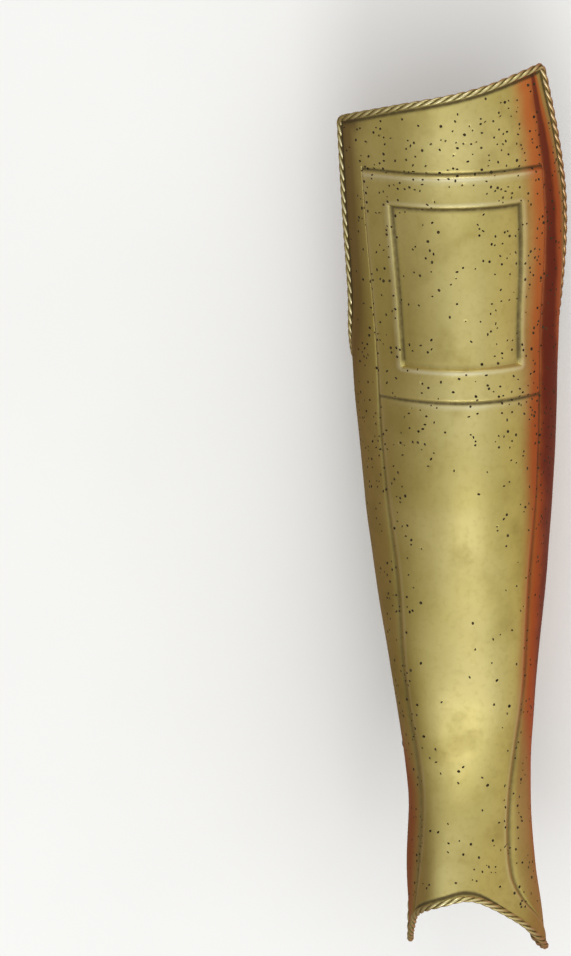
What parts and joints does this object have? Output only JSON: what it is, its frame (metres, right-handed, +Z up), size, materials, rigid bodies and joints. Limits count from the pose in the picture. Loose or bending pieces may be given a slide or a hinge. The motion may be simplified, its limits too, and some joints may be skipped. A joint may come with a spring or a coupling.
{
  "type": "greave",
  "caption": "Long brass greave for one leg, ankle to above the knee: thin embossed plate open at the back, with a roped border, strap slots and leather laces.",
  "frame": {"origin": "middle of the bounding box at the height of the floor that the greave lies on", "axes": "+Z up, away from the floor and toward the front of the shin; +Y along the leg from the ankle to the knee; -X to the low, inner side"},
  "size_m": [0.1432, 0.5752, 0.1563],
  "materials": {
    "plate_brass": "aged, brushed and pitted",
    "border_brass": "aged, dark in the grooves",
    "lace_leather": "black, worn"
  },
  "bodies": {
    "root": {"greave_plate": "plate_brass", "rope_top_edge": "border_brass", "rope_inner_edge": "border_brass", "rope_outer_edge": "border_brass", "rope_ankle_edge": "border_brass", "upper_lace": "lace_leather", "lower_lace": "lace_leather"}
  },
  "joints": []
}
